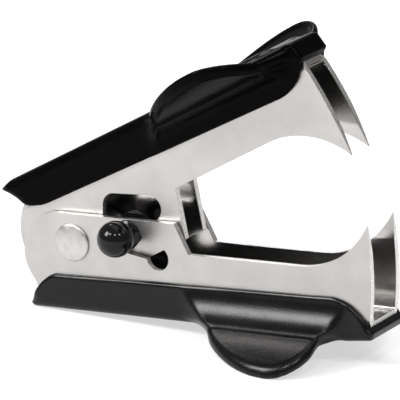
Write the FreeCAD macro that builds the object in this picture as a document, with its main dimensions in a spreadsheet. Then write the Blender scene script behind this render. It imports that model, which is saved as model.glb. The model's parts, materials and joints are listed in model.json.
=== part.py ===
"""Claw staple remover with a slide lock: two sprung U-channel jaws on one rivet, moulded finger grips.

Millimetres. +Z is up and +X points to the claws. The object stands on its lower grip, on the heel and
the two wing rims, with y = 0 as the middle plane of both jaws.
Each jaw is drawn in its own frame, with the rivet's axis at the origin and the arm along +X, and its
Placement tilts it about the rivet: the outer jaw by the stance, the inner jaw by stance and opening.
"""
import FreeCAD, Part
import math
import os

import Sketcher
from FreeCAD import Placement, Rotation, Vector

DIMENSIONS = [
    # stance and opening
    ("pivot_x", -19.345, "rivet axis from the origin, along X"),
    ("pivot_height", 11.36, "rivet axis above the table"),
    ("stance", 4.4, "outer arm above level, in degrees"),
    ("opening", 26.5, "angle between the two arms at rest, in degrees"),
    # sheet metal of both jaws
    ("gauge", 1.05, "sheet thickness"),
    ("web_face", 9.0, "rivet axis to the outer face of a web"),
    ("bend", 1.6, "outside radius of the U bend"),
    ("web_front_x", 51.3, "front end of a web"),
    ("front_bow", 60.0, "radius of the bowed front edge"),
    ("claw_round", 13.6, "radius of the hollow behind a claw"),
    ("grind_start_x", 41.0, "behind this the claws are not ground"),
    ("channel_clear", 14.0, "past every edge of the plates"),
    # outer jaw, web down
    ("outer_half", 4.3, "half of its width"),
    ("outer_ear_top", 4.5, "top edge of its ears"),
    ("outer_ear_round", 6.7, "radius of the ears' rear end"),
    ("outer_ear_centre_x", 2.3, "centre of that round, behind the rivet"),
    ("outer_heel_x", 7.45, "where the round ends"),
    ("outer_heel_z", 6.5, "where the round ends"),
    ("outer_web_rear_x", 6.5, "rear end of its web"),
    ("outer_ear_front_x", 18.5, "upper front corner of the ears"),
    ("outer_ear_foot_x", 20.7, "where the ears meet the arms"),
    ("outer_arm", 0.2, "top edge of the arms, below the rivet"),
    ("outer_claw_x", 40.0, "where the claws' hollow starts"),
    ("outer_tip_x", 51.9, "claw tips"),
    ("outer_tip_z", 6.95, "claw tips"),
    ("outer_grind_z", 2.75, "where the bevel inside the tip starts"),
    ("outer_toe_z", 0.5, "where the outside of the tip starts to lean in"),
    ("outer_tip_inside", 3.75, "inner face at the tip"),
    ("outer_tip_outside", 3.95, "outer face at the tip"),
    ("outer_over_y", 5.0, "past the plates"),
    ("outer_over_z", 7.2, "past the tips"),
    # inner jaw, web up
    ("inner_half", 3.1, "half of its width"),
    ("inner_ear_foot", 7.15, "bottom edge of its ears"),
    ("inner_ear_round", 8.6, "radius of the ears' rear end"),
    ("inner_ear_centre_x", 1.1, "centre of that round, behind the rivet"),
    ("inner_shoulder_x", 8.02, "where the round ends"),
    ("inner_shoulder_z", 6.55, "where the round ends"),
    ("inner_web_rear_x", 5.9, "rear end of its web"),
    ("inner_ear_front_x", 18.4, "lower front corner of the ears"),
    ("inner_ear_foot_x", 20.9, "where the ears meet the arms"),
    ("inner_arm", 0.4, "bottom edge of the arms, above the rivet"),
    ("inner_claw_x", 39.5, "where the claws' hollow starts"),
    ("inner_tip_x", 51.8, "claw tips"),
    ("inner_tip_z", 6.75, "claw tips"),
    ("inner_grind_z", 2.55, "where the bevel inside the tip starts"),
    ("inner_toe_z", 0.3, "where the outside of the tip starts to lean in"),
    ("inner_tip_inside", 2.45, "inner face at the tip"),
    ("inner_tip_outside", 2.65, "outer face at the tip"),
    ("inner_over_y", 4.0, "past the plates"),
    ("inner_over_z", 7.0, "past the tips"),
    # pivot
    ("rivet", 1.5, "radius of the shank"),
    ("running", 0.05, "clearance round the rivet"),
    ("head", 2.95, "radius of the domed head"),
    ("head_rim", 0.35, "straight rim of the head"),
    ("head_rise", 0.85, "height of the head"),
    ("head_dome", 8.9525, "radius of the dome"),
    ("tail", 2.6, "radius of the peened end"),
    ("tail_rim", 0.3, "straight rim of the peened end"),
    ("tail_rise", 0.7, "height of the peened end"),
    ("tail_dome", 8.65, "radius of the peened dome"),
    ("sleeve", 2.2, "radius of the spacer sleeve"),
    ("sleeve_half", 2.0, "half of its length"),
    # torsion spring
    ("wire", 0.4, "radius of the wire"),
    ("coil", 2.85, "rivet axis to the middle of the wire"),
    ("coil_half", 1.4, "middle plane to the middle of the last turn"),
    ("coil_turns", 3.0, "whole turns, besides the angle between the legs"),
    ("leg_reach", 15.0, "where a leg bears on its web"),
    ("leg_gap", 0.05, "wire to the web"),
    # lock
    ("lock_open_x", 10.25, "pin when unlocked"),
    ("lock_open_z", 2.4, "pin when unlocked"),
    ("lock_pin", 0.8, "radius of the pin"),
    ("lock_pin_head", 1.3, "radius of its formed head"),
    ("lock_pin_rise", 0.5, "height of its formed head"),
    ("lock_pin_dome", 1.94, "radius of that head's dome"),
    ("lock_pin_hold", 2.6, "length of pin inside the knob"),
    ("lock_gap", 0.1, "from a plate to the knob, and to the washer"),
    ("washer", 2.9, "radius of the retaining washer"),
    ("washer_thick", 0.6, "its thickness"),
    ("collar", 2.05, "radius of the knob's collar"),
    ("collar_rim", 0.3, "straight rim of the collar"),
    ("collar_rise", 0.55, "height of the collar"),
    ("neck", 1.32, "radius of the neck"),
    ("ball", 2.805, "radius of the ball"),
    ("ball_foot", 1.125, "plate to where the ball leaves the neck"),
    ("ball_reach", 3.6, "plate to the ball's centre"),
    # slot in the outer jaw's near plate
    ("slot_end", 1.1, "radius of the end where the pin rests unlocked"),
    ("slot_top_x", 10.89, "end of that round"),
    ("slot_top_z", 3.3, "end of that round"),
    ("slot_step_x", 13.58, "where the upper edge changes slope"),
    ("slot_step_z", 1.4, "where the upper edge changes slope"),
    ("pocket_top_x", 16.54, "where the upper edge meets the pocket"),
    ("pocket_top_z", 0.16, "where the upper edge meets the pocket"),
    ("pocket_x", 15.15, "centre of the pocket that holds the locked pin"),
    ("pocket_z", 1.2, "centre of the pocket"),
    ("pocket", 1.95, "radius of the pocket"),
    ("notch_x", 13.22, "where the pocket meets the lower edge"),
    ("notch_z", 1.45, "where the pocket meets the lower edge"),
    ("slot_foot_x", 9.4, "lower rear corner"),
    ("slot_foot_z", 0.8, "lower rear corner"),
    # window in the inner jaw's near plate
    ("window_top_x", 8.4, "upper rear corner"),
    ("window_top_z", 4.69, "upper rear corner"),
    ("window_end", 2.05, "radius of the front end"),
    ("window_end_top_x", 15.8, "start of the front round"),
    ("window_end_top_z", 1.32, "start of the front round"),
    ("window_end_foot_x", 15.66, "end of the front round"),
    ("window_end_foot_z", 2.47, "end of the front round"),
    ("window_foot_x", 7.2, "lower rear corner"),
    ("window_foot_z", 5.59, "lower rear corner"),
    ("window_left_x", 6.1, "rear edge"),
    ("window_left_z", 0.9, "rear edge"),
    ("window_corner", 2.1, "round of the corners"),
    # grips
    ("skirt", 0.95, "thickness of a grip outside the plates"),
    ("outer_crown", 1.5, "round of the lower grip's long edges"),
    ("outer_heel_rear_x", 8.7, "rearmost point of the lower grip"),
    ("outer_heel_rear_z", 10.3, "rearmost point of the lower grip"),
    ("outer_heel_top_x", 7.8, "rear end of its outer face"),
    ("outer_heel_top_z", 11.0, "rear end of its outer face"),
    ("outer_front_top_z", 11.05, "front end of its outer face"),
    ("outer_lip_top_z", 10.6, "outer edge of its front lip"),
    ("inner_crown", 1.6, "round of the upper grip's long edges"),
    ("inner_heel_rear_x", 9.1, "rearmost point of the upper grip"),
    ("inner_heel_rear_z", 12.2, "rearmost point of the upper grip"),
    ("inner_heel_top_x", 6.7, "rear end of its outer face"),
    ("inner_heel_top_z", 12.95, "rear end of its outer face"),
    ("inner_front_top_z", 12.3, "front end of its outer face"),
    ("inner_lip_top_z", 11.9, "outer edge of its front lip"),
    ("lip_x", 52.2, "front lip"),
    ("lip_z", 9.3, "inner edge of the front lip"),
    ("lip_top_x", 51.7, "outer edge of the front lip"),
    ("front_top_x", 47.5, "front end of the outer face"),
    ("nose_x", 51.4, "front end of the skirts"),
    ("nose_z", 8.8, "front end of the skirts"),
    ("nose_round", 7.4, "round of the skirts' front end"),
    ("heel_round", 7.5, "round of the skirts' rear end"),
    ("outer_skirt_heel_x", 7.1, "skirt's rear end"),
    ("outer_skirt_heel_z", 7.9, "skirt's rear end"),
    ("outer_skirt_rear_x", 3.6, "rear of the skirt's straight edge"),
    ("outer_skirt_rear_z", 5.2, "rear of the skirt's straight edge"),
    ("outer_skirt_front_x", 45.5, "front of the skirt's straight edge"),
    ("outer_skirt_front_z", 4.35, "front of the skirt's straight edge"),
    ("inner_skirt_heel_x", 7.6, "skirt's rear end"),
    ("inner_skirt_heel_z", 10.6, "skirt's rear end"),
    ("inner_skirt_rear_x", 1.3, "rear of the skirt's straight edge"),
    ("inner_skirt_rear_z", 7.0, "rear of the skirt's straight edge"),
    ("inner_skirt_front_x", 44.6, "front of the skirt's straight edge"),
    ("inner_skirt_front_z", 5.4, "front of the skirt's straight edge"),
    # finger wings
    ("wing_root_y", 5.0, "rear root of a wing, from the middle plane"),
    ("wing_sweep", 20.2, "radius of the swept rear edge"),
    ("outer_wing_rear_x", 23.2, "rear root of the lower grip's wings"),
    ("outer_wing_tip_x", 38.9, "widest point"),
    ("outer_wing_tip_y", 15.6, "widest point"),
    ("outer_wing_nose", 5.7, "radius of the front corner"),
    ("outer_wing_front_x", 44.6, "front edge"),
    ("outer_wing_nose_y", 9.9, "outer end of the front edge"),
    ("inner_wing_rear_x", 24.0, "rear root of the upper grip's wings"),
    ("inner_wing_tip_x", 40.4, "widest point"),
    ("inner_wing_tip_y", 15.9, "widest point"),
    ("inner_wing_nose", 6.8, "radius of the front corner"),
    ("inner_wing_front_x", 47.2, "front edge"),
    ("inner_wing_nose_y", 9.1, "outer end of the front edge"),
    ("wing_block", 16.0, "height of the block that the wings are cut from"),
    ("wing_over_y", 17.0, "past the wing tips"),
    ("wing_over_top", 15.4, "finger side there"),
    ("wing_over_foot", 13.84, "underside there"),
    ("saddle_round", 33.4, "hollow of the finger side"),
    ("underside_round", 32.45, "hollow of the underside"),
    # table
    ("table_length", 140.0, "block below the table"),
    ("table_depth", 12.0, "block below the table"),
]

doc = FreeCAD.newDocument("staple_remover")
sheet = doc.addObject("Spreadsheet::Sheet", "dims")
for row, (alias, value, note) in enumerate(DIMENSIONS, start=1):
    sheet.set(f"A{row}", alias)
    sheet.set(f"B{row}", str(value))
    sheet.set(f"C{row}", note)
    sheet.setAlias(f"B{row}", alias)
doc.recompute()

TILT = {"outer": "dims.stance * 1deg", "inner": "(dims.stance + dims.opening) * 1deg"}


def terms(text):
    """Splits a sum of cell names, such as "outer_half - gauge", into (sign, alias) pairs."""
    sign = 1
    for word in text.replace("-", " - ").replace("+", " + ").split():
        if word in ("+", "-"):
            sign = 1 if word == "+" else -1
        else:
            yield sign, word
            sign = 1


def dim(text):
    """The value of a sum of cells."""
    return sum(sign * float(sheet.get(alias)) for sign, alias in terms(text))


def linked(text):
    """The same sum, as an expression on the sheet."""
    signed = "".join(("+" if sign > 0 else "-") + "dims." + alias for sign, alias in terms(text))
    return signed.lstrip("+")


def flipped(corner):
    """The same corner with its y and its bulge turned over."""
    y = "".join(("-" if sign > 0 else "+") + alias for sign, alias in terms(corner[1]))
    if len(corner) == 2:
        return corner[0], y
    radius = corner[2]
    return corner[0], y, radius[1:] if radius.startswith("-") else "-" + radius


def place(obj, tilt, x="0", z="0"):
    """Tilts obj nose up, with its origin at point (x, z) of the outer jaw's frame."""
    obj.Placement = Placement(Vector(), Rotation(Vector(0, -1, 0), 1))
    stance = TILT["outer"]
    obj.setExpression(".Placement.Rotation.Angle", tilt)
    obj.setExpression(
        ".Placement.Base.x", f"(dims.pivot_x + {x} * cos({stance}) - {z} * sin({stance})) * 1mm")
    obj.setExpression(
        ".Placement.Base.z", f"(dims.pivot_height + {x} * sin({stance}) + {z} * cos({stance})) * 1mm")


def new_body(label):
    body = doc.addObject("PartDesign::Body", label)
    body.Label = label
    return body


def new_sketch(body, name, role="XZ_Plane"):
    sketch = body.newObject("Sketcher::SketchObject", name)
    origin_plane = next(f for f in body.Origin.OriginFeatures if f.Role == role)
    sketch.AttachmentSupport = [(origin_plane, "")]
    sketch.MapMode = "FlatFace"
    return sketch


def pin_point(sketch, geometry, end, x, y):
    """Fixes one end of a sketch edge at sums of cells x and y. An empty sum is on the axis."""
    for kind, text, axis in (("DistanceX", x, -2), ("DistanceY", y, -1)):
        if not text:
            sketch.addConstraint(Sketcher.Constraint("PointOnObject", geometry, end, axis))
            continue
        value = dim(text)
        ends = (-1, 1, geometry, end) if value > 0 else (geometry, end, -1, 1)
        index = sketch.addConstraint(Sketcher.Constraint(kind, *ends, abs(value)))
        sketch.setExpression(f"Constraints[{index}]", f"abs({linked(text)})")


def outline(sketch, corners, mirrored=False):
    """Closes an outline through corners of (x, y) or (x, y, radius). A radius makes the edge that
    leaves the corner an arc, which bulges to the right of its direction, or to the left where the
    radius has a minus sign. A mirrored outline has every y and every bulge turned over."""
    if mirrored:
        corners = [flipped(corner) for corner in corners]
    points = [Vector(dim(c[0]), dim(c[1]), 0) for c in corners]
    ends = []
    for i, corner in enumerate(corners):
        a, b = points[i], points[(i + 1) % len(points)]
        if len(corner) == 2:
            index = sketch.addGeometry(Part.LineSegment(a, b))
            ends.append((index, 1, 2))
            continue
        to_left = corner[2].startswith("-")
        alias = corner[2].lstrip("-")
        chord = b - a
        inward = Vector(-chord.y, chord.x, 0).normalize() * (-1 if to_left else 1)
        centre = (a + b) * 0.5 + inward * math.sqrt(dim(alias) ** 2 - (chord.Length / 2) ** 2)
        angles = [math.atan2(p.y - centre.y, p.x - centre.x) for p in (a, b)]
        if to_left:
            angles.reverse()
        circle = Part.Circle(centre, Vector(0, 0, 1), dim(alias))
        index = sketch.addGeometry(Part.ArcOfCircle(circle, *angles))
        ends.append((index, 2, 1) if to_left else (index, 1, 2))
        constraint = sketch.addConstraint(Sketcher.Constraint("Radius", index, dim(alias)))
        sketch.setExpression(f"Constraints[{constraint}]", linked(alias))
    for i, (index, _, stop) in enumerate(ends):
        following, next_start, _ = ends[(i + 1) % len(ends)]
        sketch.addConstraint(Sketcher.Constraint("Coincident", index, stop, following, next_start))
    for (index, start, _), corner in zip(ends, corners):
        pin_point(sketch, index, start, corner[0], corner[1])


def disc(sketch, radius):
    """A circle on the rivet's axis, whose radius is a sum of cells."""
    index = sketch.addGeometry(Part.Circle(Vector(), Vector(0, 0, 1), dim(radius)))
    sketch.addConstraint(Sketcher.Constraint("Coincident", index, 3, -1, 1))
    constraint = sketch.addConstraint(Sketcher.Constraint("Radius", index, dim(radius)))
    sketch.setExpression(f"Constraints[{constraint}]", linked(radius))


def pad(body, sketch, length):
    """A pad as thick as length, half on each side of its sketch."""
    feature = body.newObject("PartDesign::Pad", "Pad")
    feature.Profile = sketch
    feature.SideType = "Symmetric"
    feature.setExpression("Length", length)
    doc.recompute()
    return feature


def pocket(body, sketch, length=None):
    """A pocket of that length about its sketch, or right through along the sketch's normal."""
    before = body.Shape.Volume
    feature = body.newObject("PartDesign::Pocket", "Pocket")
    feature.Profile = sketch
    if length:
        feature.SideType = "Symmetric"
        feature.setExpression("Length", length)
    else:
        feature.Type = "ThroughAll"
        feature.Reversed = True
    doc.recompute()
    if not feature.Shape.Volume < before:
        raise RuntimeError(f"{sketch.Name} cuts nothing")
    return feature


def turned(label, corners):
    """A body turned about the rivet's direction, Y, from half sections of (radius, y)."""
    body = new_body(label)
    sketch = new_sketch(body, label + "_section", "XY_Plane")
    outline(sketch, corners)
    feature = body.newObject("PartDesign::Revolution", "Revolution")
    feature.Profile = sketch
    feature.ReferenceAxis = (sketch, ["V_Axis"])
    feature.Angle = 360
    return body


def round_edges(body, base, keep, radius):
    """A fillet of a sum of cells on the edges of base that keep chooses."""
    names = [f"Edge{i}" for i, edge in enumerate(base.Shape.Edges, start=1) if keep(edge)]
    feature = body.newObject("PartDesign::Fillet", "Fillet")
    feature.Base = (base, names)
    feature.setExpression("Radius", linked(radius))
    doc.recompute()
    return feature


def along_x(y, z):
    """Chooses straight edges along X at |y| and z, which are sums of cells."""
    def keep(edge):
        ends = edge.Vertexes
        if len(ends) != 2 or abs(ends[0].Y - ends[1].Y) > 1e-4:
            return False
        return all(abs(abs(v.Y) - dim(y)) + abs(v.Z - dim(z)) < 1e-4 for v in ends)
    return keep


def across(*corners):
    """Chooses edges along Y that stand on corners of (x, z), which are sums of cells."""
    def keep(edge):
        ends = edge.Vertexes
        if len(ends) != 2 or abs(ends[0].Y - ends[1].Y) < 0.1:
            return False
        return any(all(abs(v.X - dim(x)) + abs(v.Z - dim(z)) < 1e-3 for v in ends) for x, z in corners)
    return keep


# ---- the two jaws ----

OUTER_SIDE = [
    ("-outer_ear_centre_x", "outer_ear_top"),
    ("outer_ear_front_x", "outer_ear_top"),
    ("outer_ear_foot_x", "-outer_arm"),
    ("outer_claw_x", "-outer_arm", "claw_round"),
    ("outer_tip_x", "outer_tip_z", "-front_bow"),
    ("web_front_x", "-web_face"),
    ("-outer_web_rear_x", "-web_face"),
    ("-outer_heel_x", "-outer_heel_z", "-outer_ear_round"),
]
INNER_SIDE = [
    ("-inner_ear_centre_x", "-inner_ear_foot"),
    ("inner_ear_front_x", "-inner_ear_foot"),
    ("inner_ear_foot_x", "inner_arm"),
    ("inner_claw_x", "inner_arm", "-claw_round"),
    ("inner_tip_x", "-inner_tip_z", "front_bow"),
    ("web_front_x", "web_face"),
    ("-inner_web_rear_x", "web_face"),
    ("-inner_shoulder_x", "inner_shoulder_z", "inner_ear_round"),
]


def folded_jaw(name, side, web):
    """A folded jaw: its side outline across the whole width, hollowed to a U, with both bends.
    web is the sign of the web's side, "" for up and "-" for down."""
    body = new_body(name + "_jaw")
    profile = new_sketch(body, name + "_side")
    outline(profile, side)
    pad(body, profile, f"2 * dims.{name}_half * 1mm")
    hollow = new_sketch(body, name + "_hollow")
    outline(hollow, [
        ("-channel_clear", "-channel_clear"),
        ("web_front_x + channel_clear", "-channel_clear"),
        ("web_front_x + channel_clear", "web_face - gauge"),
        ("-channel_clear", "web_face - gauge"),
    ], mirrored=bool(web))
    channel = pocket(body, hollow, f"2 * (dims.{name}_half - dims.gauge) * 1mm")
    outside = along_x(name + "_half", web + "web_face")
    bent = round_edges(body, channel, outside, "bend")
    inside = along_x(name + "_half - gauge", web + "web_face" + ("+" if web else "-") + "gauge")
    return body, round_edges(body, bent, inside, "bend - gauge")


def grind_claws(body, name, mirrored):
    """Thins the claw tips: a bevel inside, and an outer face that leans in."""
    inside, outside = name + "_half - gauge", name + "_half"
    over = name + "_over_z"
    bevel = [(inside, name + "_grind_z"), (name + "_tip_inside", over), (inside, over)]
    lean = [
        (outside, name + "_toe_z"), (name + "_tip_outside", over),
        (name + "_over_y", over), (name + "_over_y", name + "_toe_z"),
    ]
    for corners in (bevel, lean):
        other = [(flipped(("", y))[1], z) for y, z in corners]
        for part in (corners, other):
            sketch = new_sketch(body, name + "_grind", "YZ_Plane")
            sketch.setExpression(".AttachmentOffset.Base.z", "dims.grind_start_x * 1mm")
            outline(sketch, part, mirrored)
            pocket(body, sketch)


outer_jaw, _ = folded_jaw("outer", OUTER_SIDE, "-")
outer_hole = new_sketch(outer_jaw, "outer_rivet_hole")
disc(outer_hole, "rivet")
pocket(outer_jaw, outer_hole, "4 * dims.outer_half * 1mm")
slot = new_sketch(outer_jaw, "lock_slot")
outline(slot, [
    ("lock_open_x - slot_end", "lock_open_z", "-slot_end"),
    ("slot_top_x", "slot_top_z"),
    ("slot_step_x", "slot_step_z"),
    ("pocket_top_x", "pocket_top_z", "-pocket"),
    ("pocket_x", "-pocket_z - pocket", "-pocket"),
    ("notch_x", "-notch_z"),
    ("slot_foot_x", "-slot_foot_z"),
])
pocket(outer_jaw, slot)
grind_claws(outer_jaw, "outer", mirrored=False)
place(outer_jaw, TILT["outer"])

inner_jaw, _ = folded_jaw("inner", INNER_SIDE, "")
inner_hole = new_sketch(inner_jaw, "inner_rivet_hole")
disc(inner_hole, "rivet + running")
pocket(inner_jaw, inner_hole, "4 * dims.inner_half * 1mm")
window = new_sketch(inner_jaw, "lock_window")
outline(window, [
    ("window_top_x", "window_top_z"),
    ("window_end_top_x", "window_end_top_z", "-window_end"),
    ("window_end_foot_x", "-window_end_foot_z"),
    ("window_foot_x", "-window_foot_z"),
    ("window_left_x", "-window_left_z"),
    ("window_left_x", "window_left_z"),
])
opened = pocket(inner_jaw, window)
round_edges(inner_jaw, opened, across(
    ("window_top_x", "window_top_z"), ("window_foot_x", "-window_foot_z"),
    ("window_left_x", "-window_left_z"), ("window_left_x", "window_left_z")), "window_corner")
grind_claws(inner_jaw, "inner", mirrored=True)
place(inner_jaw, TILT["inner"])

# ---- pivot: rivet with a domed head and a peened end, and the sleeve that keeps the jaw from closing ----

pivot_rivet = turned("pivot_rivet", [
    ("", "-outer_half - head_rise", "head_dome"),
    ("head", "-outer_half - head_rim"),
    ("head", "-outer_half"),
    ("rivet", "-outer_half"),
    ("rivet", "outer_half"),
    ("tail", "outer_half"),
    ("tail", "outer_half + tail_rim", "tail_dome"),
    ("", "outer_half + tail_rise"),
])
place(pivot_rivet, TILT["outer"])
pivot_sleeve = turned("pivot_sleeve", [
    ("rivet + running", "-sleeve_half"),
    ("sleeve", "-sleeve_half"),
    ("sleeve", "sleeve_half"),
    ("rivet + running", "sleeve_half"),
])
place(pivot_sleeve, TILT["outer"])

# ---- slide lock: knob and pin outside, washer under the pin's formed head inside ----

PIN_TILT = (TILT["outer"], "dims.lock_open_x", "dims.lock_open_z")
WASHER_OUT = "-inner_half + gauge + lock_gap"
WASHER_IN = WASHER_OUT + " + washer_thick"
lock_knob = turned("lock_knob", [
    ("lock_pin", "-outer_half - lock_gap"),
    ("lock_pin", "-outer_half - lock_gap - lock_pin_hold"),
    ("", "-outer_half - lock_gap - lock_pin_hold"),
    ("", "-outer_half - ball_reach - ball", "ball"),
    ("neck", "-outer_half - ball_foot"),
    ("neck", "-outer_half - lock_gap - collar_rise"),
    ("collar", "-outer_half - lock_gap - collar_rim"),
    ("collar", "-outer_half - lock_gap"),
])
lock_pin = turned("lock_pin", [
    ("", "-outer_half - lock_gap - lock_pin_hold"),
    ("lock_pin", "-outer_half - lock_gap - lock_pin_hold"),
    ("lock_pin", WASHER_IN),
    ("lock_pin_head", WASHER_IN, "lock_pin_dome"),
    ("", WASHER_IN + " + lock_pin_rise"),
])
lock_washer = turned("lock_washer", [
    ("lock_pin", WASHER_OUT),
    ("washer", WASHER_OUT),
    ("washer", WASHER_IN),
    ("lock_pin", WASHER_IN),
])
for piece in (lock_knob, lock_pin, lock_washer):
    place(piece, *PIN_TILT)


# ---- torsion spring: a coil round the sleeve, one leg along each web ----

def spring_shape():
    """A closed coil whose legs leave it as tangents, in the outer jaw's frame."""
    radius, half, reach = dim("coil"), dim("coil_half"), dim("leg_reach")
    leg_z = dim("web_face - gauge - wire - leg_gap")
    leg_angle = math.atan2(leg_z, reach) + math.acos(radius / math.hypot(reach, leg_z))
    opening = math.radians(dim("opening"))
    first = leg_angle + opening
    last = 2 * math.pi - leg_angle + 2 * math.pi * dim("coil_turns")
    rise = -2 * half / (last - first)

    def on_coil(angle):
        return Vector(radius * math.cos(angle), half + rise * (angle - first), radius * math.sin(angle))

    helix = Part.makeHelix(2 * math.pi * -rise, 2 * half, radius)
    helix.Placement = Placement(
        Vector(0, half, 0), Rotation(Vector(1, 0, 0), 90) * Rotation(Vector(0, 0, 1), math.degrees(first)))
    upper_end = Vector(reach * math.cos(opening) - leg_z * math.sin(opening), half,
                       reach * math.sin(opening) + leg_z * math.cos(opening))
    lower_end = Vector(reach, -half, -leg_z)
    solids = [Part.Wire(helix.Edges).makePipeShell(
        [Part.Wire(Part.makeCircle(dim("wire"), on_coil(first), Vector(-math.sin(first), 0, math.cos(first))))],
        True, True)]
    for end, angle in ((upper_end, first), (lower_end, last)):
        start = on_coil(angle)
        run = end - start
        solids.append(Part.makeCylinder(dim("wire"), run.Length, start, run))
        solids.append(Part.makeSphere(dim("wire"), start))
    return solids[0].fuse(solids[1:]).removeSplitter()


torsion_spring = doc.addObject("Part::Feature", "torsion_spring")
torsion_spring.Label = "torsion_spring"
torsion_spring.Shape = spring_shape()
place(torsion_spring, TILT["outer"])


# ---- grips: a hollow block over each web, with two finger wings ----

def grip_solids(name, side, web):
    """The block, its saddle, the wings and the jaw's own space; web is "-" where it is down."""
    mirrored = bool(web)
    block = new_body(name + "_grip_block")
    profile = new_sketch(block, name + "_grip_side")
    outline(profile, [
        (f"-{name}_heel_rear_x", f"{name}_heel_rear_z"),
        (f"-{name}_skirt_heel_x", f"{name}_skirt_heel_z", "heel_round"),
        (f"-{name}_skirt_rear_x", f"{name}_skirt_rear_z"),
        (f"{name}_skirt_front_x", f"{name}_skirt_front_z", "nose_round"),
        ("nose_x", "nose_z"),
        ("lip_x", "lip_z"),
        ("lip_top_x", f"{name}_lip_top_z"),
        ("front_top_x", f"{name}_front_top_z"),
        (f"-{name}_heel_top_x", f"{name}_heel_top_z"),
    ], mirrored)
    whole = pad(block, profile, f"2 * (dims.{name}_half + dims.skirt) * 1mm")
    rear = (-dim(f"{name}_heel_top_x"), dim(f"{name}_heel_top_z"))
    front = (dim("front_top_x"), dim(f"{name}_front_top_z"))

    def long_outer_edge(edge):
        ends = sorted((v.X, abs(v.Z)) for v in edge.Vertexes)
        if len(ends) != 2:
            return False
        return all(math.dist(found, wanted) < 1e-3 for found, wanted in zip(ends, (rear, front)))

    round_edges(block, whole, long_outer_edge, f"{name}_crown")

    rear_x, front_x, tip_x, tip_y, nose, nose_y = (
        f"{name}_wing_{cell}" for cell in ("rear_x", "front_x", "tip_x", "tip_y", "nose", "nose_y"))
    wings = new_body(name + "_grip_wings")
    plan = new_sketch(wings, name + "_wing_plan", "XY_Plane")
    outline(plan, [
        (rear_x, "-wing_root_y", "wing_sweep"),
        (tip_x, "-" + tip_y, nose),
        (front_x, "-" + nose_y),
        (front_x, nose_y, nose),
        (tip_x, tip_y, "wing_sweep"),
        (rear_x, "wing_root_y"),
    ])
    pad(wings, plan, "2 * dims.wing_block * 1mm")
    over_foot = [
        ("wing_over_y", "wing_over_foot", "-underside_round"),
        ("-wing_over_y", "wing_over_foot"),
        ("-wing_over_y", "-wing_block - gauge"),
        ("wing_over_y", "-wing_block - gauge"),
    ]
    over_top = [
        ("-wing_over_y", "wing_over_top", "saddle_round"),
        ("wing_over_y", "wing_over_top"),
        ("wing_over_y", "wing_block + gauge"),
        ("-wing_over_y", "wing_block + gauge"),
    ]
    for corners in (over_foot, over_top):
        section = new_sketch(wings, name + "_wing_section", "YZ_Plane")
        outline(section, corners, mirrored)
        pocket(wings, section, "4 * dims.web_front_x * 1mm")

    saddle = new_body(name + "_grip_saddle")
    hollow = new_sketch(saddle, name + "_saddle_section", "YZ_Plane")
    hollow.setExpression(
        ".AttachmentOffset.Base.z", f"(dims.{rear_x} + dims.{tip_x}) / 2 * 1mm")
    outline(hollow, over_top, mirrored)
    pad(saddle, hollow, f"(dims.{tip_x} - dims.{rear_x} - 2 * dims.gauge) * 1mm")

    envelope = new_body(name + "_jaw_space")
    jaw_side = new_sketch(envelope, name + "_jaw_space_side")
    outline(jaw_side, side)
    pad(envelope, jaw_side, f"2 * dims.{name}_half * 1mm")
    return block, saddle, wings, envelope


def grip(label, name, side, web):
    """The grip as Part booleans: the block less the saddle, with the wings, less the jaw's space."""
    block, saddle, wings, envelope = grip_solids(name, side, web)
    dished = doc.addObject("Part::Cut", label + "_dished")
    dished.Base = block
    dished.Tool = saddle
    moulded = doc.addObject("Part::Fuse", label + "_moulded")
    moulded.Base = dished
    moulded.Tool = wings
    hollowed = doc.addObject("Part::Cut", label + "_hollowed")
    hollowed.Base = moulded
    hollowed.Tool = envelope
    return hollowed


upper_grip = grip("upper_grip", "inner", INNER_SIDE, "")
upper_grip.Label = "upper_grip"
place(upper_grip, TILT["inner"])

# The lower grip has flat lands on its heel and wing rims, in the plane of the table.
lower_blank = grip("lower_grip", "outer", OUTER_SIDE, "-")
table = doc.addObject("Part::Box", "table")
table.Placement = Placement(Vector(), Rotation(Vector(0, 1, 0), 1))
table.setExpression("Length", "dims.table_length * 1mm")
table.setExpression("Width", "dims.table_length * 1mm")
table.setExpression("Height", "dims.table_depth * 1mm")
table.setExpression(".Placement.Rotation.Angle", TILT["outer"])
table.setExpression(".Placement.Base.x", (
    "(-dims.table_length / 2 * cos(dims.stance * 1deg)"
    " - (dims.table_depth + dims.pivot_height) * sin(dims.stance * 1deg)) * 1mm"))
table.setExpression(".Placement.Base.y", "-dims.table_length / 2 * 1mm")
table.setExpression(".Placement.Base.z", (
    "(dims.table_length / 2 * sin(dims.stance * 1deg)"
    " - (dims.table_depth + dims.pivot_height) * cos(dims.stance * 1deg)) * 1mm"))
lower_grip = doc.addObject("Part::Cut", "lower_grip")
lower_grip.Base = lower_blank
lower_grip.Tool = table
lower_grip.Label = "lower_grip"
place(lower_grip, TILT["outer"])

doc.recompute()

NODES = [
    outer_jaw, inner_jaw, lower_grip, upper_grip, pivot_rivet, pivot_sleeve, torsion_spring,
    lock_knob, lock_pin, lock_washer,
]
for obj in doc.Objects:
    if "Invalid" in obj.State or "Error" in obj.State:
        raise RuntimeError(f"{obj.Name} did not compute: {obj.State}")
for node in NODES:
    if node.Shape.isNull() or not node.Shape.isValid() or not node.Shape.Solids:
        raise RuntimeError(f"{node.Label} has no valid solid")

os.makedirs("parts", exist_ok=True)
for node in NODES:
    node.Shape.exportStep(f"parts/{node.Label}.step")
    box = node.Shape.BoundBox
    print(f"{node.Label}: {len(node.Shape.Solids)} solid, {node.Shape.Volume:.1f} mm3, "
          f"x {box.XMin:.2f} {box.XMax:.2f}  y {box.YMin:.2f} {box.YMax:.2f}  z {box.ZMin:.2f} {box.ZMax:.2f}")
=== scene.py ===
"""Looks of the claw staple remover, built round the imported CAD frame."""
import json
import math

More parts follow.
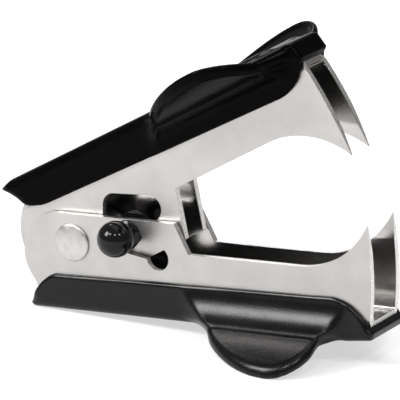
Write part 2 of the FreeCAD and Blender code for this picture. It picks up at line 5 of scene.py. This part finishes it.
import bmesh
import bpy
import numpy as np
from mathutils import Matrix, Vector


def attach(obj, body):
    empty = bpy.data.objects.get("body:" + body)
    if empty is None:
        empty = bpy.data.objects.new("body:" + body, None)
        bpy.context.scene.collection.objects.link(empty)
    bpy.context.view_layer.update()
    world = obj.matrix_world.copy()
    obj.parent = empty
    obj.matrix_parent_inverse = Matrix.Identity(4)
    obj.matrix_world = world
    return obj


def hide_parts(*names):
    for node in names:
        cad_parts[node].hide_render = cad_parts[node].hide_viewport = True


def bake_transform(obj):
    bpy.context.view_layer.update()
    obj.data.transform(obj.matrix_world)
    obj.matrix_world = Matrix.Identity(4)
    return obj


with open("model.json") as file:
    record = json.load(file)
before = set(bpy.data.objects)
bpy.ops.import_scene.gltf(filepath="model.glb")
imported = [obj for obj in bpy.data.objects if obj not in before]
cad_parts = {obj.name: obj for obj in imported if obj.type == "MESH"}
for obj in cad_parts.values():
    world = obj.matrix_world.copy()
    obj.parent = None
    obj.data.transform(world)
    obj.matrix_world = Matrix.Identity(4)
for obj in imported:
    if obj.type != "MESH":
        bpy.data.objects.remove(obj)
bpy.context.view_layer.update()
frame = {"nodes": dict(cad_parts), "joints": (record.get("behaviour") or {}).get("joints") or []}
scene = bpy.context.scene

# ---- where things are: jaw frames have the rivet at the origin and millimetres as units ----

PIVOT = Vector(next(j for j in frame["joints"] if j["name"] == "jaw_hinge")["pos_m"])
STANCE = math.radians(4.4)
OPENING = math.radians(26.5)
MM = 0.001
LOWER = Matrix.Translation(PIVOT) @ Matrix.Rotation(-STANCE, 4, "Y") @ Matrix.Scale(MM, 4)
UPPER = Matrix.Translation(PIVOT) @ Matrix.Rotation(-STANCE - OPENING, 4, "Y") @ Matrix.Scale(MM, 4)
TURNED_OVER = Matrix.Diagonal((1, 1, -1, 1))
OUTER_HALF, INNER_HALF, GAUGE = 4.3, 3.1, 1.05
LOCK_AT = (10.25, 2.4)


# ---- materials ----

class Look:
    """A Principled material with a few nodes, all in object coordinates of 1 mm."""

    def __init__(self, name, **sockets):
        self.material = bpy.data.materials.new(name)
        self.material.use_nodes = True
        self.tree = self.material.node_tree
        self.shader = self.tree.nodes["Principled BSDF"]
        for key, value in sockets.items():
            self.shader.inputs[key.replace("_", " ")].default_value = value
        place = self.node("ShaderNodeTexCoord")
        self.place = self.node("ShaderNodeMapping", Scale=(1000, 1000, 1000), Vector=place.outputs["Object"])

    def node(self, kind, settings=None, **inputs):
        made = self.tree.nodes.new(kind)
        for key, value in (settings or {}).items():
            setattr(made, key, value)
        for key, value in inputs.items():
            numbered = key[0] == "i" and key[1:].isdigit()
            self.feed(made.inputs[int(key[1:]) if numbered else key.replace("_", " ")], value)
        return made

    def feed(self, socket, value):
        if isinstance(value, bpy.types.NodeSocket):
            self.tree.links.new(value, socket)
        elif isinstance(value, bpy.types.Node):
            self.tree.links.new(value.outputs[0], socket)
        else:
            socket.default_value = value

    def math(self, kind, a, b=0.0):
        return self.node("ShaderNodeMath", {"operation": kind}, i0=a, i1=b)

    def noise(self, scale, detail=2.0, stretch=(1, 1, 1)):
        stretched = self.node("ShaderNodeMapping", Scale=stretch, Vector=self.place)
        return self.node("ShaderNodeTexNoise", Vector=stretched, Scale=scale, Detail=detail, Roughness=0.5)

    def remap(self, value, low, high, to_low=0.0, to_high=1.0):
        return self.node("ShaderNodeMapRange", i0=value, i1=low, i2=high, i3=to_low, i4=to_high)

    def blend(self, factor, a, b):
        mixed = self.node("ShaderNodeMix", {"data_type": "RGBA"})
        self.feed(mixed.inputs["Factor"], factor)
        self.feed(mixed.inputs["A"], a)
        self.feed(mixed.inputs["B"], b)
        return mixed.outputs["Result"]

    def bump(self, height, depth_mm, strength=1.0, below=None):
        made = self.node("ShaderNodeBump", Height=height, Distance=depth_mm * MM, Strength=strength)
        if below is not None:
            self.feed(made.inputs["Normal"], below)
        return made

    def set(self, **inputs):
        for key, value in inputs.items():
            self.feed(self.shader.inputs[key.replace("_", " ")], value)
        return self.material


def shade(colour, factor):
    """A colour made lighter or darker, with its alpha."""
    return tuple(c * factor for c in colour) + (1,)


def jaw_steel(name, half):
    """Nickel plate: clouded satin faces, gritty sheared edges lightened with a painted highlight, and painted
    shade inside the channel, a flat tone with a glossier finish.
    """
    look = Look(name, Metallic=1.0)
    normal = look.node("ShaderNodeNewGeometry").outputs["Normal"]
    across, facing = (
        look.math("ABSOLUTE", look.node("ShaderNodeSeparateXYZ", Vector=vector).outputs["Y"])
        for vector in (look.place, normal))
    inside = look.remap(across, half - GAUGE + 0.02, half - GAUGE + 0.25, 1.0, 0.0)
    edge = look.remap(facing, 0.35, 0.75, 1.0, 0.0)
    cloud = look.noise(0.22, 4.0)
    streak = look.noise(2.6, 3.0, (0.12, 1, 1))
    grit = look.noise(5.5, 2.0)
    face = look.blend(look.remap(cloud, 0.3, 0.7), (0.46, 0.445, 0.432, 1), (0.54, 0.525, 0.51, 1))
    # Sheared edges: the grit is the steel's own, but the tone is lightened far past the faces as a painted
    # highlight.
    sheared_grit_and_highlight = look.blend(look.remap(grit, 0.42, 0.62), (0.93, 0.91, 0.89, 1), (0.5, 0.48, 0.47, 1))
    colour = look.blend(edge, face, sheared_grit_and_highlight)
    # Painted shade inside the channel: one flat tone in place of the clouds and the lighter edges.
    colour = look.blend(inside, colour, (0.50, 0.49, 0.48, 1))
    roughness = look.math(
        "ADD", look.remap(cloud, 0.3, 0.7, 0.36, 0.43), look.remap(streak, 0.3, 0.7, -0.03, 0.03))
    roughness = look.math("MULTIPLY", roughness, look.remap(inside, 0.0, 1.0, 1.0, 0.42))
    fine = look.bump(streak, 0.004, 0.35)
    ripple = look.bump(look.noise(0.28, 1.0), 0.05, 0.5, fine)
    sheared = look.bump(grit, 0.05, look.math("MULTIPLY", edge, 0.5), ripple)
    return look.set(Base_Color=colour, Roughness=roughness, Normal=sheared)


def small_steel(name, colour, roughness):
    """Tumbled nickel of the rivet and the other turned parts."""
    look = Look(name, Metallic=1.0)
    cloud = look.noise(0.9, 4.0)
    dents = look.noise(1.6, 2.0)
    tone = look.blend(look.remap(cloud, 0.32, 0.68), shade(colour, 0.84), shade(colour, 1.0))
    return look.set(
        Base_Color=tone, Roughness=look.remap(cloud, 0.3, 0.7, roughness, roughness + 0.12),
        Normal=look.bump(dents, 0.03, 0.5))


def grip_plastic(name, colour, roughness, grain, specular):
    """Moulded black plastic with a fine spark-eroded grain and faint handling polish."""
    look = Look(name, IOR=1.47, Specular_IOR_Level=specular)
    fine = look.noise(6.5, 2.0)
    patch = look.noise(0.12, 3.0)
    tone = look.blend(look.remap(fine, 0.35, 0.7), shade(colour, 0.75), shade(colour, 1.25))
    shine = look.math(
        "ADD", look.remap(patch, 0.3, 0.7, roughness - 0.05, roughness + 0.05),
        look.remap(fine, 0.3, 0.7, -0.05, 0.05))
    return look.set(Base_Color=tone, Roughness=shine, Normal=look.bump(fine, grain, 0.6))


def gloss_plastic(name, colour):
    """Polished black knob."""
    look = Look(name, IOR=1.5, Specular_IOR_Level=0.22)
    return look.set(
        Base_Color=look.blend(look.noise(0.4), shade(colour, 1.0), shade(colour, 1.6)),
        Roughness=look.remap(look.noise(1.2, 3.0), 0.3, 0.7, 0.08, 0.16),
        Normal=look.bump(look.noise(0.5), 0.02, 0.3))


def drawn_wire(name):
    look = Look(name, Metallic=1.0)
    line = look.noise(7.0, 2.0)
    return look.set(
        Base_Color=look.blend(line, (0.30, 0.30, 0.31, 1), (0.46, 0.46, 0.47, 1)),
        Roughness=look.remap(line, 0.3, 0.7, 0.25, 0.4), Normal=look.bump(line, 0.01, 0.4))


# ---- mesh helpers ----

def new_object(name, verts, faces, material, matrix, body, slot, *nodes):
    mesh = bpy.data.meshes.new(name)
    mesh.from_pydata([tuple(v) for v in verts], [], [tuple(f) for f in faces])
    mesh.transform(matrix)
    mesh.validate()
    mesh.update()
    mesh.shade_smooth()
    obj = bpy.data.objects.new(name, mesh)
    scene.collection.objects.link(obj)
    mesh.materials.append(material)
    if body:
        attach(obj, body)
    if nodes:
        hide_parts(*nodes)
    return obj


def arc(a, b, radius, count=10):
    """Points from a towards b, b left out, on an arc that bulges to the right, or left if radius < 0."""
    a, b = np.array(a, float), np.array(b, float)
    chord = b - a
    length = np.hypot(*chord)
    side = 1.0 if radius > 0 else -1.0
    inward = side * np.array([-chord[1], chord[0]]) / length
    centre = (a + b) / 2 + inward * math.sqrt(radius ** 2 - length ** 2 / 4)
    start = math.atan2(*(a - centre)[::-1])
    turn = side * 2 * math.asin(length / 2 / abs(radius))
    steps = start + turn * np.arange(count) / count
    return [tuple(centre + abs(radius) * np.array([math.cos(t), math.sin(t)])) for t in steps]


def traced(corners):
    """A polygon through corners (x, y) or (x, y, radius of the arc that leaves it)."""
    points = []
    for corner, following in zip(corners, corners[1:] + corners[:1]):
        points += arc(corner[:2], following[:2], corner[2]) if len(corner) == 3 else [corner]
    return points


def eased(profile, radius):
    """Rounds the corners of an open outline, apart from its ends and the joints of an arc."""
    points = [profile[0]]
    for before, corner, after in zip(profile, profile[1:], profile[2:]):
        a, p, b = (np.array(q, float) for q in (before, corner, after))
        if Vector(p - a).angle(Vector(b - p)) < math.radians(15):
            points.append(corner)
            continue
        cut = min(radius, np.linalg.norm(a - p) * 0.45, np.linalg.norm(b - p) * 0.45)
        start, end = p + (a - p) / np.linalg.norm(a - p) * cut, p + (b - p) / np.linalg.norm(b - p) * cut
        for t in (0.0, 0.25, 0.5, 0.75, 1.0):
            points.append(tuple((1 - t) ** 2 * start + 2 * t * (1 - t) * p + t * t * end))
    return points + [profile[-1]]


# ---- implicit shapes, in mm: negative inside ----

def smooth_max(a, b, k):
    h = np.maximum(k - np.abs(a - b), 0) / k
    return np.maximum(a, b) + h * h * k / 4


def smooth_min(a, b, k):
    return -smooth_max(-a, -b, k)


def step_up(value, low, high):
    t = np.clip((value - low) / (high - low), 0, 1)
    return t * t * (3 - 2 * t)


def polygon(x, z, points):
    nearest, inside = np.inf, False
    for (ax, az), (bx, bz) in zip(points, points[1:] + points[:1]):
        ex, ez = bx - ax, bz - az
        t = np.clip(((x - ax) * ex + (z - az) * ez) / (ex * ex + ez * ez), 0, 1)
        nearest = np.minimum(nearest, (x - ax - ex * t) ** 2 + (z - az - ez * t) ** 2)
        if ez:
            inside = inside ^ (((az <= z) != (bz <= z)) & (x < ax + ex * (z - az) / ez))
    return np.where(inside, -1.0, 1.0) * np.sqrt(nearest)


def skin(field, low, high, step):
    """Surface nets: quads on the zero of field, drawn onto it."""
    axes = [np.arange(a, b + step, step) for a, b in zip(low, high)]
    d = field(*np.meshgrid(*axes, indexing="ij", sparse=True))
    inner = tuple(n - 1 for n in d.shape)
    total, hits = np.zeros(inner + (3,)), np.zeros(inner)
    crossings = []
    for a in range(3):
        b, c = (a + 1) % 3, (a + 2) % 3
        d0, d1 = np.moveaxis(d, a, 0)[:-1], np.moveaxis(d, a, 0)[1:]
        d0, d1 = np.moveaxis(d0, 0, a), np.moveaxis(d1, 0, a)
        at = np.argwhere((d0 < 0) != (d1 < 0))
        v0, v1 = d0[tuple(at.T)], d1[tuple(at.T)]
        spot = at.astype(float)
        spot[:, a] += v0 / (v0 - v1)
        keep = np.all([(at[:, i] >= 1) & (at[:, i] <= d.shape[i] - 2) for i in (b, c)], axis=0)
        at, spot, v0 = at[keep], spot[keep], v0[keep]
        around = []
        for ob, oc in ((1, 1), (0, 1), (0, 0), (1, 0)):
            cell = at.copy()
            cell[:, b] -= ob
            cell[:, c] -= oc
            np.add.at(total, tuple(cell.T), spot)
            np.add.at(hits, tuple(cell.T), 1)
            around.append(cell)
        crossings.append((around, v0 < 0))
    used = hits > 0
    index = np.full(inner, -1)
    index[used] = np.arange(used.sum())
    verts = total[used] / hits[used][:, None] * step + np.array([a[0] for a in axes])
    faces = []
    for around, outward in crossings:
        quad = np.stack([index[tuple(cell.T)] for cell in around], axis=1)
        quad[~outward] = quad[~outward][:, ::-1]
        faces.append(quad)
    nudge, least_slope = 0.01, 0.2
    for _ in range(3):
        value = field(*verts.T)
        slope = np.stack([
            (field(*(verts + e).T) - field(*(verts - e).T)) / (2 * nudge) for e in np.eye(3) * nudge], axis=1)
        reach = value / np.maximum((slope ** 2).sum(1), least_slope)
        verts = verts - slope * reach[:, None].clip(-step, step)
    return verts, np.concatenate(faces)


# ---- grips ----

OUTER_JAW_SIDE = traced([
    (-2.3, 4.5), (18.5, 4.5), (20.7, -0.2), (40.0, -0.2, 13.6), (51.9, 6.95, -60.0), (51.3, -9.0),
    (-6.5, -9.0), (-7.45, -6.5, -6.7)])
INNER_JAW_SIDE = traced([
    (-1.1, -7.15), (18.4, -7.15), (20.9, 0.4), (39.5, 0.4, -13.6), (51.8, -6.75, 60.0), (51.3, 9.0),
    (-5.9, 9.0), (-8.02, 6.55, 8.6)])
WING_EDGE = 0.15      # how far the wings' edges stay inside their plan
SWEEP = 20.2          # radius of the swept rear edge
ARC_Y = 17.0          # where the finger side's height is given
SADDLE_TOP, SADDLE_ROUND = 15.4, 33.4
UNDERSIDE_TOP, UNDERSIDE_ROUND = 13.84, 32.45
BEAD_ROUND, BEAD_INSET, BEAD_DROP = 0.66, 0.55, 0.5
WALL = 0.55           # from the plate to the foot of the grip's wall
SKIRT_ROUND = 0.5     # round of the wall's lower edge
WING_ROUND = 0.9      # round of the wings' edges
TOP_ROOT = 2.4        # blend of the wings into the block, on the finger side
FRONT_X = (38.0, 45.0)    # where the block's long edges take the front's round
OVERLAP = 0.35        # how deep the shell goes into the steel that it holds


def bowl(y, height, radius):
    """Height of an arc across the grip that passes ARC_Y at height."""
    return height + math.sqrt(radius ** 2 - ARC_Y ** 2) - np.sqrt(radius ** 2 - np.minimum(y, ARC_Y + 1) ** 2)


def wing_plan(x, y, sweep_at, nose_at, nose_round):
    """Swept rear edge, round tip and straight front edge, seen from above."""
    sweep = np.hypot(x - sweep_at[0], y - sweep_at[1]) - SWEEP
    dx, dy = x - nose_at[0], y - nose_at[1]
    nose = np.minimum(np.maximum(dx, dy), 0) + np.hypot(np.maximum(dx, 0), np.maximum(dy, 0)) - nose_round
    return smooth_max(sweep, nose, 0.6) + WING_EDGE


def gusset(x, y, z, from_at, to_at, floor, roof):
    """Fills the corner between a wing's front edge and the wall, behind the line from from_at to to_at."""
    run, fall = to_at[0] - from_at[0], from_at[1] - to_at[1]
    lean = ((x - from_at[0]) * fall + (y - from_at[1]) * run) / math.hypot(run, fall)
    ends = np.maximum(from_at[0] - 1.5 - x, x - to_at[0])
    return smooth_max(smooth_max(lean, ends, 0.8), np.maximum(z - roof, floor - z), WING_ROUND)


def rounded(corners, radius):
    """A closed outline of (x, z) or (x, z, arc) with its straight corners eased."""
    points = traced(corners)
    return eased(points[-1:] + points + points[:1], radius)[1:-1]


def grip_field(half, jaw_side, crown, front_crown, root, rise, face, side, wing, lean=None):
    """A grip with its web up and its middle plane at y = 0: a hollow block with two finger wings.

    The outer face's height is face, as (x, height) lists. A lean, from the wing to the lip, fills the
    corner in front of each wing. Every edge is moulded round.
    """
    def field(x, y, z):
        y = np.abs(y)
        wall = y - (half + WALL + 0.1 * np.clip(z - 5.0, 0, 4.0))
        edge = crown + (front_crown - crown) * step_up(x, *FRONT_X)
        block = smooth_max(
            polygon(x, z, side), wall, SKIRT_ROUND + (edge - SKIRT_ROUND) * step_up(z, 8.0, 10.0))
        plan = wing_plan(x, y, *wing)
        tip_x = wing[1][0]
        lift = rise * step_up(x, tip_x - 10.5, tip_x - 0.5) * (1 - step_up(y, 4.0, 9.0))
        top = bowl(y, SADDLE_TOP, SADDLE_ROUND) + lift
        foot = bowl(y, UNDERSIDE_TOP, UNDERSIDE_ROUND)
        leaf = smooth_max(smooth_max(z - top, foot - z, WING_ROUND), plan, WING_ROUND)
        whole = smooth_min(block, leaf, root - (root - TOP_ROOT) * step_up(z, 9.3, 10.8))
        outer_face = np.interp(x, *face)
        if lean:
            whole = smooth_min(whole, gusset(x, y, z, *lean, foot + 0.5, outer_face - 0.2), 0.8)
        cap = np.maximum(top, np.minimum(outer_face, top + 3.0 * step_up(plan, -2.5, 1.5)))
        whole = smooth_max(whole, z - cap, 0.6)
        bead = np.hypot(plan + BEAD_INSET, z - top + BEAD_DROP)
        bead = bead - BEAD_ROUND * step_up(y, half + 1.5, half + 6.0)
        whole = smooth_min(whole, bead + 1.0 - step_up(y, half, half + 1.2), 0.3)
        hollow = np.maximum(polygon(x, z, jaw_side), y - half) + OVERLAP
        return np.maximum(whole, -hollow)

    return field


def grip(name, field, matrix, body, material):
    step = 0.36
    low, high = (-10.2, -17.2, 2.6), (53.6, 17.2, 15.4)
    verts, faces = skin(field, low, high, step)
    if matrix.determinant() < 0:
        faces = faces[:, ::-1]
    return new_object(name, verts, faces, material, matrix, body, "grip_plastic", name.replace("_shell", ""))


lower_field = grip_field(
    OUTER_HALF, [(x, -z) for x, z in OUTER_JAW_SIDE], crown=1.9, front_crown=1.2, root=5.0, rise=0.25,
    face=((-7.8, 47.5), (11.0, 11.05)), side=rounded([
        (-8.7, 10.3), (-7.1, 7.9, 7.5), (-3.6, 5.2), (45.5, 4.35, 7.4), (51.4, 8.8), (52.2, 9.3),
        (51.7, 10.6), (47.5, 11.05), (-7.8, 11.0)], 0.3),
    wing=((41.03, -4.49), (38.9, 9.9), 5.7))
upper_field = grip_field(
    INNER_HALF, INNER_JAW_SIDE, crown=2.2, front_crown=0.7, root=4.0, rise=1.8,
    face=((-6.7, 47.5), (12.95, 12.3)), side=rounded([
        (-9.1, 12.2), (-7.6, 10.6, 7.5), (-1.3, 7.0), (44.6, 5.4, 7.4), (51.4, 8.8), (52.2, 9.3),
        (51.7, 11.9), (47.5, 12.3), (-6.7, 12.95)], 0.3),
    wing=((41.97, -4.24), (40.4, 9.1), 6.8), lean=((47.1, 9.0), (51.0, 4.2)))
table = PIVOT.z / MM


def on_table(x, y, z):
    """The lower grip, ground flat where it meets the table."""
    height = x * math.sin(STANCE) - z * math.cos(STANCE) + table
    return np.maximum(lower_field(x, y, z), -height)


# The two grips are one plastic, given lit and shaded copies: the upper one's darker base colour and far
# weaker specular level are painted shade.
grip("lower_grip_shell", on_table, LOWER @ TURNED_OVER, "lower_jaw",
     grip_plastic("lower_grip_plastic", (0.0022, 0.0018, 0.002), 0.24, 0.02, 0.28))
grip("upper_grip_shell", upper_field, UPPER, "upper_jaw",
     grip_plastic("upper_grip_plastic", (0.0016, 0.0012, 0.0014), 0.22, 0.008, 0.03))


# ---- jaws: the CAD pressings, with their edges broken ----

def broken_edges(node, width_mm, material):
    obj = frame["nodes"][node]
    obj.data.materials.clear()
    obj.data.materials.append(material)
    weld = obj.modifiers.new("Weld", "WELD")
    weld.merge_threshold = 0.000002
    flat = obj.modifiers.new("Flat", "DECIMATE")
    flat.decimate_type = "DISSOLVE"
    flat.angle_limit = math.radians(0.5)
    bevel = obj.modifiers.new("Bevel", "BEVEL")
    bevel.width = width_mm * MM
    bevel.segments = 3
    bevel.limit_method = "ANGLE"
    bevel.angle_limit = math.radians(38)
    bevel.harden_normals = True
    obj.data.shade_smooth()
    normals = obj.modifiers.new("Normals", "WEIGHTED_NORMAL")
    normals.keep_sharp = True


broken_edges("outer_jaw", 0.16, jaw_steel("outer_jaw_steel", OUTER_HALF))
broken_edges("inner_jaw", 0.16, jaw_steel("inner_jaw_steel", INNER_HALF))


# ---- turned parts ----

def lathe(name, profile, matrix, material, body, slot, node, at=(0.0, 0.0), count=72):
    """Turns an open or closed half section of (radius, y) about Y through the point at = (x, z)."""
    verts, faces, rings = [], [], []
    for radius, y in profile:
        if radius < 1e-6:
            rings.append([len(verts)])
            verts.append((at[0], y, at[1]))
            continue
        rings.append(list(range(len(verts), len(verts) + count)))
        for i in range(count):
            angle = 2 * math.pi * i / count
            verts.append((at[0] + radius * math.cos(angle), y, at[1] + radius * math.sin(angle)))
    for lower, upper in zip(rings, rings[1:]):
        for i in range(count):
            j = (i + 1) % count
            a = [lower[0]] if len(lower) == 1 else [lower[i], lower[j]]
            b = [upper[0]] if len(upper) == 1 else [upper[j], upper[i]]
            if len(a) + len(b) > 2:
                faces.append(a + b)
    obj = new_object(name, verts, faces, material, matrix, body, slot, node)
    mesh = bmesh.new()
    mesh.from_mesh(obj.data)
    bmesh.ops.remove_doubles(mesh, verts=mesh.verts, dist=1e-9)
    bmesh.ops.recalc_face_normals(mesh, faces=mesh.faces)
    mesh.to_mesh(obj.data)
    mesh.free()
    return obj


def dome(rim_radius, rim_y, rise, count=9):
    """Half section of a shallow dome from its rim to its top, rising along -y if rise < 0."""
    radius = (rim_radius ** 2 + rise ** 2) / (2 * abs(rise))
    points = []
    for i in range(count + 1):
        r = rim_radius * (1 - i / count)
        height = math.sqrt(radius ** 2 - r ** 2) - (radius - abs(rise))
        points.append((r, rim_y + math.copysign(height, rise)))
    return points


nickel = small_steel("rivet_nickel", (0.58, 0.567, 0.555), 0.3)
dull_nickel = small_steel("turned_steel", (0.62, 0.61, 0.6), 0.35)

SHANK = 1.5
head = [(SHANK, -OUTER_HALF), (2.95, -OUTER_HALF), (2.95, -OUTER_HALF - 0.3)]
tail = [(2.6, OUTER_HALF + 0.25), (2.6, OUTER_HALF), (SHANK, OUTER_HALF)]
shank = eased(tail + head + dome(2.8, -OUTER_HALF - 0.41, -0.44), 0.12)
tail_dome = dome(2.45, OUTER_HALF + 0.35, 0.35)
lathe("rivet", tail_dome[::-1] + shank, LOWER, nickel, "lower_jaw", "rivet_steel", "pivot_rivet")

ring = eased([(1.9, -2.0), (2.2, -2.0), (2.2, 2.0), (1.55, 2.0), (1.55, -2.0), (1.9, -2.0)], 0.15)
lathe("sleeve", ring, LOWER, dull_nickel, "lower_jaw", "rivet_steel", "pivot_sleeve")

FACE = -OUTER_HALF - 0.1
BALL, NECK, COLLAR = 2.8, 1.35, 2.05
BALL_Y = -OUTER_HALF - 3.6
PIN = 0.8
ball = [
    (BALL * math.cos(t), BALL_Y - BALL * math.sin(t))
    for t in np.linspace(-math.acos(NECK / BALL), math.pi / 2, 26)]
ball[-1] = (0.0, BALL_Y - BALL)
collar = [(PIN, FACE), (COLLAR, FACE), (COLLAR, FACE - 0.3), (1.45, FACE - 0.6), (NECK, ball[0][1])]
knob = eased(collar, 0.12) + ball[1:]
knob_black = gloss_plastic("knob_black", (0.004, 0.004, 0.0042))
lathe("knob", knob, LOWER, knob_black, "lock", "knob_plastic", "lock_knob", LOCK_AT)

WASHER = -INNER_HALF + GAUGE + 0.1
WASHER_TOP = WASHER + 0.6
RIM, RIM_Y = 1.3, WASHER + 0.62
pin = eased([(PIN, FACE - 2.0), (PIN, WASHER_TOP), (RIM, RIM_Y)], 0.05) + dome(RIM, RIM_Y, 0.46)[1:]
lathe("pin", [(0.0, FACE - 2.0)] + pin, LOWER, dull_nickel, "lock", "rivet_steel", "lock_pin", LOCK_AT)
washer = eased([
    (1.6, WASHER), (2.9, WASHER), (2.9, WASHER_TOP), (PIN, WASHER_TOP), (PIN, WASHER), (1.6, WASHER)], 0.12)
lathe("washer", washer, LOWER, knob_black, "lock", "knob_plastic", "lock_washer", LOCK_AT)


# ---- torsion spring: a coil with its legs set to the two jaws at this opening ----

def spring_path():
    """Centre line in the lower jaw's frame, upper leg first, with eased bends where the legs leave."""
    radius, half, reach, leg_z, turns = 2.85, 1.4, 15.0, 7.5, 3
    lean = math.atan2(leg_z, reach) + math.acos(radius / math.hypot(reach, leg_z))
    first, last = lean + OPENING, 2 * math.pi * (turns + 1) - lean
    upper = np.array([reach * math.cos(OPENING) - leg_z * math.sin(OPENING), half,
                      reach * math.sin(OPENING) + leg_z * math.cos(OPENING)])
    lower = np.array([reach, -half, -leg_z])
    angles = np.linspace(first, last, 150)
    share = (angles - first) / (last - first)
    eased_share = np.clip((share - 0.04) / 0.92, 0, 1)
    coil = np.stack([radius * np.cos(angles), half - 2 * half * eased_share, radius * np.sin(angles)], axis=1)
    legs = np.linspace(0, 1, 9)[:-1, None]
    return np.concatenate([upper + (coil[0] - upper) * legs, coil, (lower + (coil[-1] - lower) * legs)[::-1]])


def tube(path, radius, count=12):
    tangents = np.gradient(path, axis=0)
    tangents /= np.linalg.norm(tangents, axis=1)[:, None]
    normal = np.cross(tangents[0], (0, 1, 0))
    verts, faces = [], []
    for point, tangent in zip(path, tangents):
        normal = normal - tangent * normal.dot(tangent)
        normal /= np.linalg.norm(normal)
        side = np.cross(tangent, normal)
        for i in range(count):
            angle = 2 * math.pi * i / count
            verts.append(point + radius * (normal * math.cos(angle) + side * math.sin(angle)))
    for k in range(len(path) - 1):
        for i in range(count):
            j = (i + 1) % count
            faces.append((k * count + i, (k + 1) * count + i, (k + 1) * count + j, k * count + j))
    faces += [tuple(range(count)), tuple(range(len(verts) - 1, len(verts) - count - 1, -1))]
    return verts, faces


wire = drawn_wire("spring_wire_steel")
spring = new_object("spring", *tube(spring_path(), 0.4), wire, LOWER, None, "spring_wire")
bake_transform(spring)
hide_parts("torsion_spring")


# ---- camera: a long lens from the knob's side, a little above, rolled slightly ----

AZIMUTH, ELEVATION, ROLL = math.radians(34.0), math.radians(15.7), math.radians(-4.65)
DISTANCE, LENS, SENSOR = 743.0, 437.31, 36.0
AIM_RIGHT, AIM_UP = 17.15674, 5.30605    # the picture's middle from the rivet, in mm at the rivet's distance

back = Vector((
    math.sin(AZIMUTH) * math.cos(ELEVATION), -math.cos(AZIMUTH) * math.cos(ELEVATION), math.sin(ELEVATION)))
level = Vector((math.cos(AZIMUTH), math.sin(AZIMUTH), 0))
upright = back.cross(level)
right = level * math.cos(ROLL) + upright * math.sin(ROLL)
up = -level * math.sin(ROLL) + upright * math.cos(ROLL)
aim = -back + (right * AIM_RIGHT + up * AIM_UP) / DISTANCE
turn = Matrix.Rotation(-STANCE, 3, "Y")
forward = (turn @ aim).normalized()
side = forward.cross(turn @ up).normalized()
camera_data = bpy.data.cameras.new("camera")
camera_data.sensor_width = SENSOR
camera_data.lens = LENS
camera_data.clip_start = 0.01
camera_data.clip_end = 20.0
camera = bpy.data.objects.new("camera", camera_data)
scene.collection.objects.link(camera)
pose = Matrix((side, side.cross(forward), -forward)).transposed().to_4x4()
camera.matrix_world = Matrix.Translation(PIVOT + turn @ back * (DISTANCE * MM)) @ pose
scene.camera = camera


# ---- stage ----

def area_light(name, size, power, at, target=(0, 0, 0.02)):
    data = bpy.data.lights.new(name, "AREA")
    data.shape = "RECTANGLE"
    data.size, data.size_y = size
    data.energy = power
    light = bpy.data.objects.new(name, data)
    light.location = at
    light.rotation_euler = (Vector(target) - Vector(at)).to_track_quat("-Z", "Y").to_euler()
    scene.collection.objects.link(light)


floor_look = Look("floor_white", Roughness=0.9, Emission_Color=(1.0, 1.0, 1.0, 1), Emission_Strength=0.6)
floor_look.set(
    Base_Color=floor_look.blend(floor_look.noise(0.002), (0.45, 0.45, 0.45, 1), (0.47, 0.47, 0.47, 1)))
floor_mesh = bpy.data.meshes.new("floor")
FLOOR_HALF = 4
floor_corners = [(x * FLOOR_HALF, y * FLOOR_HALF, 0) for x, y in ((-1, -1), (1, -1), (1, 1), (-1, 1))]
floor_mesh.from_pydata(floor_corners, [], [(0, 1, 2, 3)])
floor_mesh.materials.append(floor_look.material)
floor = bpy.data.objects.new("floor", floor_mesh)
scene.collection.objects.link(floor)

world = bpy.data.worlds.new("studio")
world.use_nodes = True
world.node_tree.nodes["Background"].inputs["Color"].default_value = (1.0, 0.995, 0.99, 1)
world.node_tree.nodes["Background"].inputs["Strength"].default_value = 0.25
scene.world = world
area_light("top_softbox", (0.5, 0.5), 0.7, (0.05, 0.12, 0.55))
area_light("left_softbox", (0.22, 0.22), 3.2, (-0.33, -0.37, 0.37))
area_light("back_softbox", (0.3, 0.3), 1.6, (-0.32, 0.33, 0.42))
LAMP_AT = Vector((0, -0.424, 0.424))
for number, bearing in enumerate((-14, 26, 64), start=1):
    lamp = Matrix.Rotation(math.radians(bearing), 3, "Z") @ LAMP_AT
    area_light(f"lamp_{number}", (0.05, 0.05), 0.6, lamp)
scene.view_settings.view_transform = "Standard"
